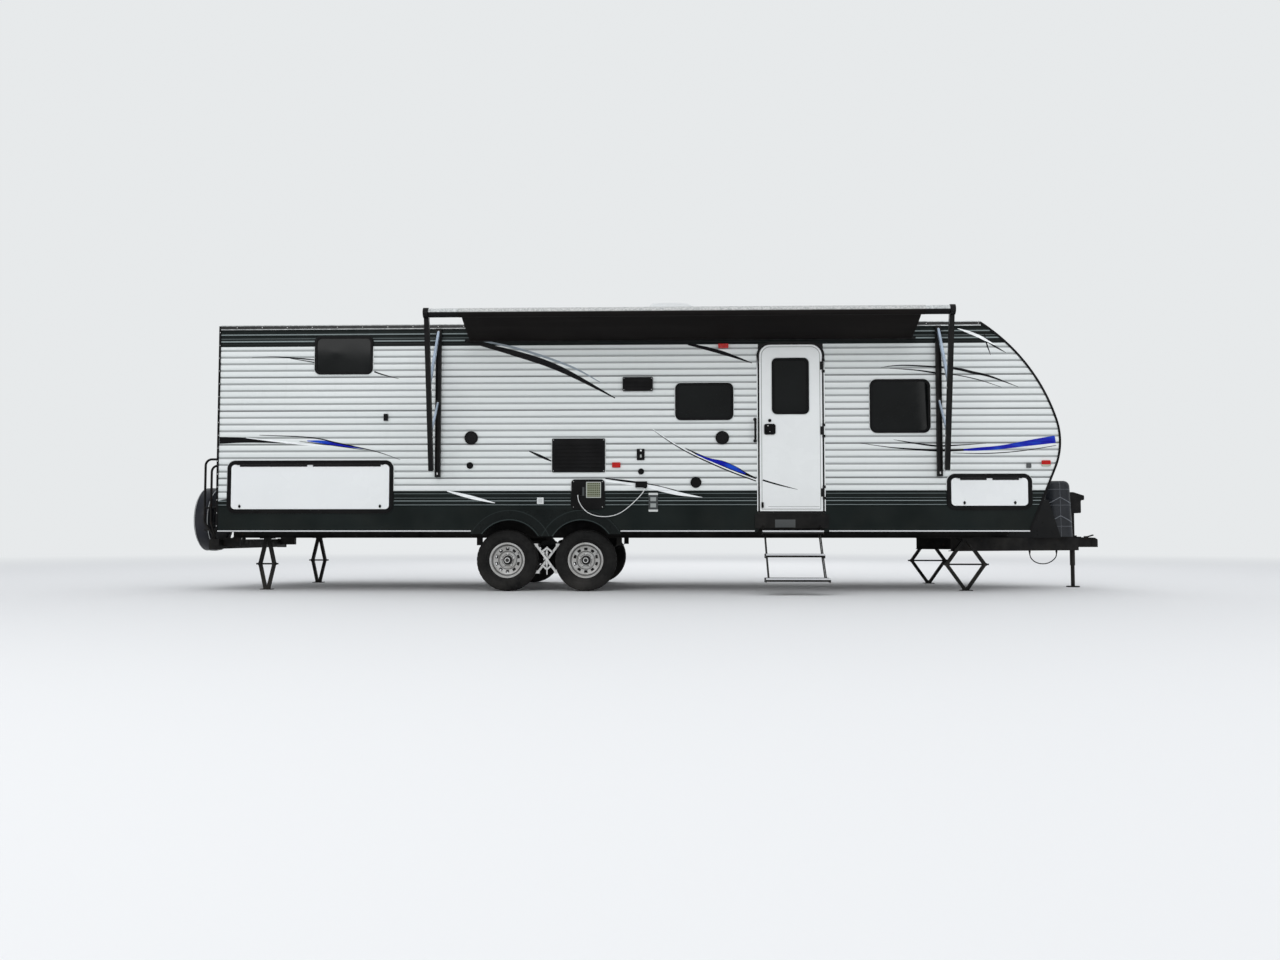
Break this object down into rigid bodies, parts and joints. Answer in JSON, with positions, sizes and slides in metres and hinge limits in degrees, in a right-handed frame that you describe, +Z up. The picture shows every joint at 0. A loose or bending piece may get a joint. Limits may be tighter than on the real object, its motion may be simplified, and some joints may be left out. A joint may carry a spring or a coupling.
{
  "type": "travel caravan",
  "caption": "Tandem-axle travel caravan with hollow ribbed body, entry door with steps, baggage doors, awning, tongue with coupler and jack, and a covered spare wheel.",
  "frame": {"origin": "middle of the whole object's box, on the ground", "axes": "+X forward to the coupler, +Z up, the entry door on the -Y side"},
  "size_m": [10.26, 3.138, 3.285],
  "materials": {
    "white_siding": "satin, ribbed",
    "white_slab": "gloss",
    "white_roof": "matte membrane",
    "wall_board": "matte",
    "floor_board": "matte",
    "black_trim": "satin",
    "black_steel": "satin",
    "bright_trim": "satin",
    "dark_glass": "gloss",
    "tyre": "matte",
    "wheel_steel": "satin",
    "awning_fabric": "matte",
    "cover_grey": "satin",
    "lens": "gloss",
    "cord_white": "satin",
    "cord_black": "satin",
    "bare_steel": "satin",
    "vinyl_black": "satin vinyl"
  },
  "bodies": {
    "trailer": {"wall_curb": "wall_board", "wall_road": "wall_board", "siding_curb": "white_siding", "siding_road": "white_siding", "siding_rear": "white_siding", "wall_rear": "wall_board", "roof": "white_roof", "wall_front": "white_siding", "floor": "floor_board", "edge_mouldings": "black_trim", "body_rails": "bright_trim", "window_frames": "black_trim", "window_glass": "dark_glass", "hatch_frames": "black_trim", "entry_door_frame": "white_slab", "storage_partitions": "wall_board", "fender_skirts": "black_trim", "axles": "black_steel", "suspension": "black_steel", "main_rails": "black_steel", "cross_members": "black_steel", "tongue_frame": "black_steel", "coupler": "black_steel", "tongue_jack": "black_steel", "stabilizer_jacks": "black_steel", "entry_steps": "black_steel", "rear_bumper": "black_steel", "spare_wheel_cover": "vinyl_black", "bottle_cover": "cover_grey", "tongue_box": "black_trim", "awning_rafters": "bright_trim", "awning_roller": "bright_trim", "awning_arms": "black_steel", "awning_fabric": "awning_fabric", "roof_air_conditioner": "white_slab", "roof_vent_base": "white_slab", "wall_panels": "black_trim", "grab_handle": "black_trim", "lamps": "lens", "wheel_chock": "bare_steel", "white_cord": "cord_white", "tow_cable": "cord_black", "cord_fittings": "black_trim"},
    "entry_door": {"entry_door": "white_slab", "entry_door_glass": "dark_glass", "entry_door_fittings": "black_trim"},
    "rear_hatch": {"rear_hatch": "white_slab"},
    "front_hatch_curb": {"front_hatch_curb": "white_slab"},
    "front_hatch_road": {"front_hatch_road": "white_slab"},
    "roof_vent_lid": {"roof_vent_lid": "white_slab"},
    "wheel_rear_curb": {"wheel_rear_curb_tyre": "tyre", "wheel_rear_curb_rim": "wheel_steel"},
    "wheel_front_curb": {"wheel_front_curb_tyre": "tyre", "wheel_front_curb_rim": "wheel_steel"},
    "wheel_rear_road": {"wheel_rear_road_tyre": "tyre", "wheel_rear_road_rim": "wheel_steel"},
    "wheel_front_road": {"wheel_front_road_tyre": "tyre", "wheel_front_road_rim": "wheel_steel"}
  },
  "joints": [
    {"name": "wheel_rear_curb_spin", "type": "hinge", "parent": "trailer", "child": "wheel_rear_curb", "pos_m": [-1.572, -0.7425, 0.3315], "axis": [0, 1, 0], "continuous": true},
    {"name": "wheel_front_curb_spin", "type": "hinge", "parent": "trailer", "child": "wheel_front_curb", "pos_m": [-0.727, -0.7425, 0.3315], "axis": [0, 1, 0], "continuous": true},
    {"name": "wheel_rear_road_spin", "type": "hinge", "parent": "trailer", "child": "wheel_rear_road", "pos_m": [-1.572, 1.3925, 0.3315], "axis": [0, 1, 0], "continuous": true},
    {"name": "wheel_front_road_spin", "type": "hinge", "parent": "trailer", "child": "wheel_front_road", "pos_m": [-0.727, 1.3925, 0.3315], "axis": [0, 1, 0], "continuous": true},
    {"name": "entry_door_swing", "type": "hinge", "parent": "trailer", "child": "entry_door", "pos_m": [1.8015, -0.912, 1.7], "axis": [0, 0, 1], "range_deg": [0, 150]},
    {"name": "rear_hatch_lift", "type": "hinge", "parent": "trailer", "child": "rear_hatch", "pos_m": [-3.6955, -0.912, 1.3625], "axis": [-1, 0, 0], "range_deg": [0, 100]},
    {"name": "front_hatch_curb_lift", "type": "hinge", "parent": "trailer", "child": "front_hatch_curb", "pos_m": [3.545, -0.912, 1.2065], "axis": [-1, 0, 0], "range_deg": [0, 100]},
    {"name": "front_hatch_road_lift", "type": "hinge", "parent": "trailer", "child": "front_hatch_road", "pos_m": [3.545, 1.562, 1.2065], "axis": [1, 0, 0], "range_deg": [0, 100]},
    {"name": "roof_vent_lift", "type": "hinge", "parent": "trailer", "child": "roof_vent_lid", "pos_m": [-2.739, 0.325, 2.913], "axis": [0, -1, 0], "range_deg": [0, 70]}
  ]
}
